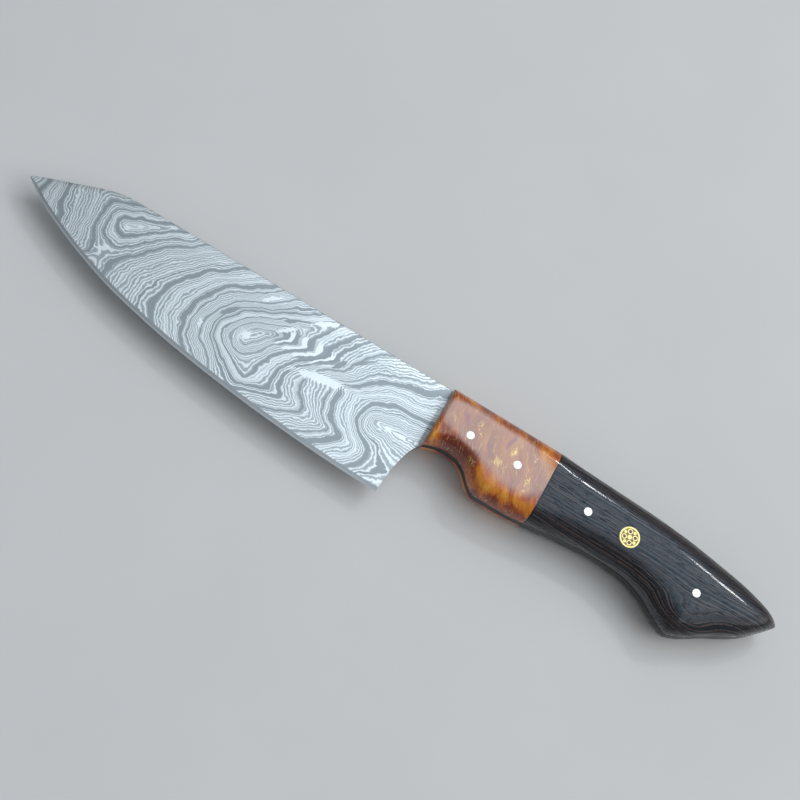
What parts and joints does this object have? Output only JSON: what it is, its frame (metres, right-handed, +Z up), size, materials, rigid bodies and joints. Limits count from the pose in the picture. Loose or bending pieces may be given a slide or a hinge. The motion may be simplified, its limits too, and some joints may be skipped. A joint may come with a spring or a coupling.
{
  "type": "chef knife",
  "caption": "Full tang kitchen knife with a patterned steel blade, amber resin bolster scales, dark wood handle scales and a mosaic pin.",
  "frame": {"origin": "bottom centre of the bounding box, on the plane that the right handle scale's flat face rests on", "axes": "+X from the tip toward the butt, +Y from the cutting edge toward the spine, +Z up out of the left side"},
  "size_m": [0.3166, 0.048, 0.019],
  "materials": {
    "steel": "satin etched, pattern welded",
    "resin": "polished amber pearl resin",
    "wood": "oiled and buffed dark hardwood",
    "epoxy": "glue line",
    "nickel_silver": "polished",
    "brass": "polished",
    "dark_epoxy": "polished"
  },
  "bodies": {
    "root": {"blade_tang": "steel", "bolster_scale_left": "resin", "bolster_scale_right": "resin", "handle_scale_left": "wood", "handle_scale_right": "wood", "bond_bolster_left": "epoxy", "bond_bolster_right": "epoxy", "bond_handle_left": "epoxy", "bond_handle_right": "epoxy", "bolster_pin_front": "nickel_silver", "bolster_pin_rear": "nickel_silver", "handle_pin_front": "nickel_silver", "handle_pin_rear": "nickel_silver", "mosaic_tube": "brass", "mosaic_center_rod": "brass", "mosaic_inner_tube_1": "brass", "mosaic_inner_tube_2": "brass", "mosaic_inner_tube_3": "brass", "mosaic_inner_tube_4": "brass", "mosaic_tube_core_1": "dark_epoxy", "mosaic_tube_core_2": "dark_epoxy", "mosaic_tube_core_3": "dark_epoxy", "mosaic_tube_core_4": "dark_epoxy", "mosaic_small_rod_1": "brass", "mosaic_small_rod_2": "brass", "mosaic_small_rod_3": "brass", "mosaic_small_rod_4": "brass", "mosaic_epoxy_fill": "dark_epoxy"}
  },
  "joints": []
}
